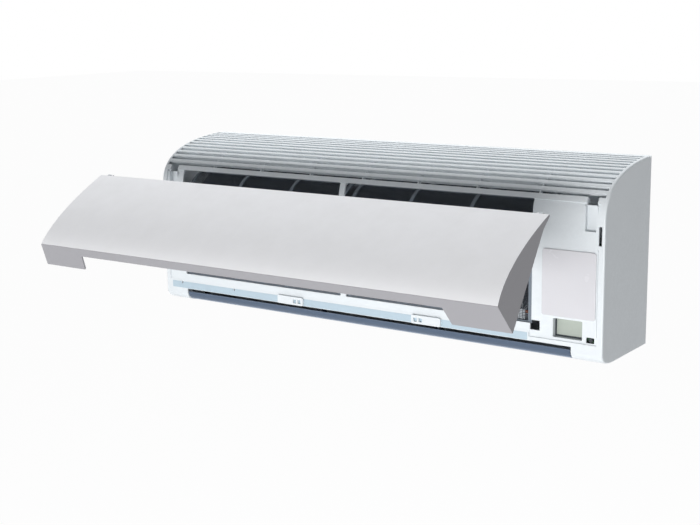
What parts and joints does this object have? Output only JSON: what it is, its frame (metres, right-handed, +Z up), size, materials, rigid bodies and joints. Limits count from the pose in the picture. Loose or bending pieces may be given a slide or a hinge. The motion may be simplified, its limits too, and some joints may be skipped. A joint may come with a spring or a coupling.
{
  "type": "mini split indoor unit",
  "caption": "Wall-mounted indoor unit of a split air conditioner: slatted top grille, lift-off front panel, draw-out filters, outlet vane and cross-flow fan.",
  "frame": {"origin": "centre of the mounting plate's flat back face, where it meets the wall", "axes": "+X to the right seen from the room, along the unit's width; +Y into the wall; +Z up"},
  "size_m": [0.798, 0.4341, 0.274],
  "materials": {
    "white_plastic": "fine matt moulded, white",
    "panel_plastic": "smooth, near white",
    "pale_plastic": "moulded, pale grey",
    "dark_plastic": "moulded, dark grey",
    "slate_plastic": "moulded, slate grey",
    "filter_plastic": "flexible moulded frame, grey",
    "filter_net": "fine woven net, near black",
    "window": "tinted, smoked grey green",
    "zinc_steel": "zinc coated",
    "fins": "thin pressed fins",
    "copper": "bare drawn copper",
    "brass": "machined",
    "rubber": "moulded",
    "board": "printed circuit board, green"
  },
  "bodies": {
    "casing": {"front_casing": "white_plastic", "rear_chassis": "pale_plastic", "mounting_plate": "zinc_steel", "drain_pan": "pale_plastic", "drain_plug": "rubber", "coil_front": "fins", "coil_upper": "fins", "coil_rear": "fins", "coil_end_left": "copper", "coil_end_right": "copper", "gas_pipe": "copper", "liquid_pipe": "copper", "flare_nut_gas": "brass", "flare_nut_liquid": "brass", "pipe_clamp": "pale_plastic", "bearing_holder": "pale_plastic", "fan_bearing": "rubber", "fan_motor": "dark_plastic", "motor_clamp": "zinc_steel", "vane_motor": "zinc_steel", "terminal_cover": "panel_plastic", "control_box": "dark_plastic", "control_board": "board", "terminal_block": "dark_plastic", "display_window": "window", "display_board": "board", "room_sensor": "white_plastic", "coil_sensor": "copper", "casing_screw_left": "zinc_steel", "casing_screw_right": "zinc_steel", "screw_cap_left": "white_plastic", "screw_cap_right": "white_plastic"},
    "hinge_bushes": {"hinge_bush_left": "pale_plastic", "hinge_bush_right": "pale_plastic"},
    "front_panel": {"front_panel": "panel_plastic"},
    "filter_left": {"filter_frame_left": "filter_plastic", "filter_mesh_left": "filter_net"},
    "filter_right": {"filter_frame_right": "filter_plastic", "filter_mesh_right": "filter_net"},
    "fan": {"fan_wheel": "dark_plastic"},
    "vane": {"air_vane": "slate_plastic", "vane_front_strip": "slate_plastic"},
    "button": {"manual_button": "dark_plastic"},
    "deflector_left_1": {"deflector_left_1": "dark_plastic"},
    "deflector_left_2": {"deflector_left_2": "dark_plastic"},
    "deflector_left_3": {"deflector_left_3": "dark_plastic"},
    "deflector_left_4": {"deflector_left_4": "dark_plastic"},
    "deflector_left_5": {"deflector_left_5": "dark_plastic"},
    "link_left": {"deflector_link_left": "dark_plastic"},
    "deflector_right_1": {"deflector_right_1": "dark_plastic"},
    "deflector_right_2": {"deflector_right_2": "dark_plastic"},
    "deflector_right_3": {"deflector_right_3": "dark_plastic"},
    "deflector_right_4": {"deflector_right_4": "dark_plastic"},
    "deflector_right_5": {"deflector_right_5": "dark_plastic"},
    "link_right": {"deflector_link_right": "dark_plastic"}
  },
  "joints": [
    {"name": "panel_pull_off", "type": "slide", "parent": "casing", "child": "hinge_bushes", "axis": [0, 1, 0], "range_m": [0, 0.1503]},
    {"name": "panel_swing", "type": "hinge", "parent": "hinge_bushes", "child": "front_panel", "pos_m": [0, -0.2973, 0.089], "axis": [-1, 0, 0], "range_deg": [-41, 30]},
    {"name": "filter_left_pull", "type": "slide", "parent": "casing", "child": "filter_left", "axis": [0, 1, 0], "range_m": [-0.09, 0]},
    {"name": "filter_right_pull", "type": "slide", "parent": "casing", "child": "filter_right", "axis": [0, 1, 0], "range_m": [-0.09, 0]},
    {"name": "fan_spin", "type": "hinge", "parent": "casing", "child": "fan", "pos_m": [0, -0.072, -0.04], "axis": [1, 0, 0], "continuous": true},
    {"name": "vane_swing", "type": "hinge", "parent": "casing", "child": "vane", "pos_m": [0, -0.108, -0.129], "axis": [1, 0, 0], "range_deg": [0, 75]},
    {"name": "button_press", "type": "slide", "parent": "casing", "child": "button", "axis": [0, 1, 0], "range_m": [0, 0.0012], "stiffness_N_per_m": 400},
    {"name": "deflector_left_1_turn", "type": "hinge", "parent": "casing", "child": "deflector_left_1", "pos_m": [-0.2975, -0.09675, -0.1001], "axis": [0, 0.7071, -0.7071], "range_deg": [-30, 30]},
    {"name": "deflector_left_2_turn", "type": "hinge", "parent": "casing", "child": "deflector_left_2", "pos_m": [-0.2425, -0.09675, -0.1001], "axis": [0, 0.7071, -0.7071], "range_deg": [-30, 30]},
    {"name": "deflector_left_3_turn", "type": "hinge", "parent": "casing", "child": "deflector_left_3", "pos_m": [-0.1875, -0.09675, -0.1001], "axis": [0, 0.7071, -0.7071], "range_deg": [-30, 30]},
    {"name": "deflector_left_4_turn", "type": "hinge", "parent": "casing", "child": "deflector_left_4", "pos_m": [-0.1325, -0.09675, -0.1001], "axis": [0, 0.7071, -0.7071], "range_deg": [-30, 30]},
    {"name": "deflector_left_5_turn", "type": "hinge", "parent": "casing", "child": "deflector_left_5", "pos_m": [-0.0775, -0.09675, -0.1001], "axis": [0, 0.7071, -0.7071], "range_deg": [-30, 30]},
    {"name": "link_left_turn", "type": "hinge", "parent": "deflector_left_1", "child": "link_left", "pos_m": [-0.2975, -0.08911, -0.0953], "axis": [0, 0.7071, -0.7071], "range_deg": [-30, 30]},
    {"name": "deflector_right_1_turn", "type": "hinge", "parent": "casing", "child": "deflector_right_1", "pos_m": [-0.0225, -0.09675, -0.1001], "axis": [0, 0.7071, -0.7071], "range_deg": [-30, 30]},
    {"name": "deflector_right_2_turn", "type": "hinge", "parent": "casing", "child": "deflector_right_2", "pos_m": [0.0325, -0.09675, -0.1001], "axis": [0, 0.7071, -0.7071], "range_deg": [-30, 30]},
    {"name": "deflector_right_3_turn", "type": "hinge", "parent": "casing", "child": "deflector_right_3", "pos_m": [0.0875, -0.09675, -0.1001], "axis": [0, 0.7071, -0.7071], "range_deg": [-30, 30]},
    {"name": "deflector_right_4_turn", "type": "hinge", "parent": "casing", "child": "deflector_right_4", "pos_m": [0.1425, -0.09675, -0.1001], "axis": [0, 0.7071, -0.7071], "range_deg": [-30, 30]},
    {"name": "deflector_right_5_turn", "type": "hinge", "parent": "casing", "child": "deflector_right_5", "pos_m": [0.1975, -0.09675, -0.1001], "axis": [0, 0.7071, -0.7071], "range_deg": [-30, 30]},
    {"name": "link_right_turn", "type": "hinge", "parent": "deflector_right_1", "child": "link_right", "pos_m": [-0.0225, -0.08911, -0.0953], "axis": [0, 0.7071, -0.7071], "range_deg": [-30, 30]}
  ],
  "couplings": [
    {"joint": "deflector_left_2_turn", "follows": "deflector_left_1_turn", "ratio": 1},
    {"joint": "deflector_left_3_turn", "follows": "deflector_left_1_turn", "ratio": 1},
    {"joint": "deflector_left_4_turn", "follows": "deflector_left_1_turn", "ratio": 1},
    {"joint": "deflector_left_5_turn", "follows": "deflector_left_1_turn", "ratio": 1},
    {"joint": "link_left_turn", "follows": "deflector_left_1_turn", "ratio": -1},
    {"joint": "deflector_right_2_turn", "follows": "deflector_right_1_turn", "ratio": 1},
    {"joint": "deflector_right_3_turn", "follows": "deflector_right_1_turn", "ratio": 1},
    {"joint": "deflector_right_4_turn", "follows": "deflector_right_1_turn", "ratio": 1},
    {"joint": "deflector_right_5_turn", "follows": "deflector_right_1_turn", "ratio": 1},
    {"joint": "link_right_turn", "follows": "deflector_right_1_turn", "ratio": -1}
  ]
}
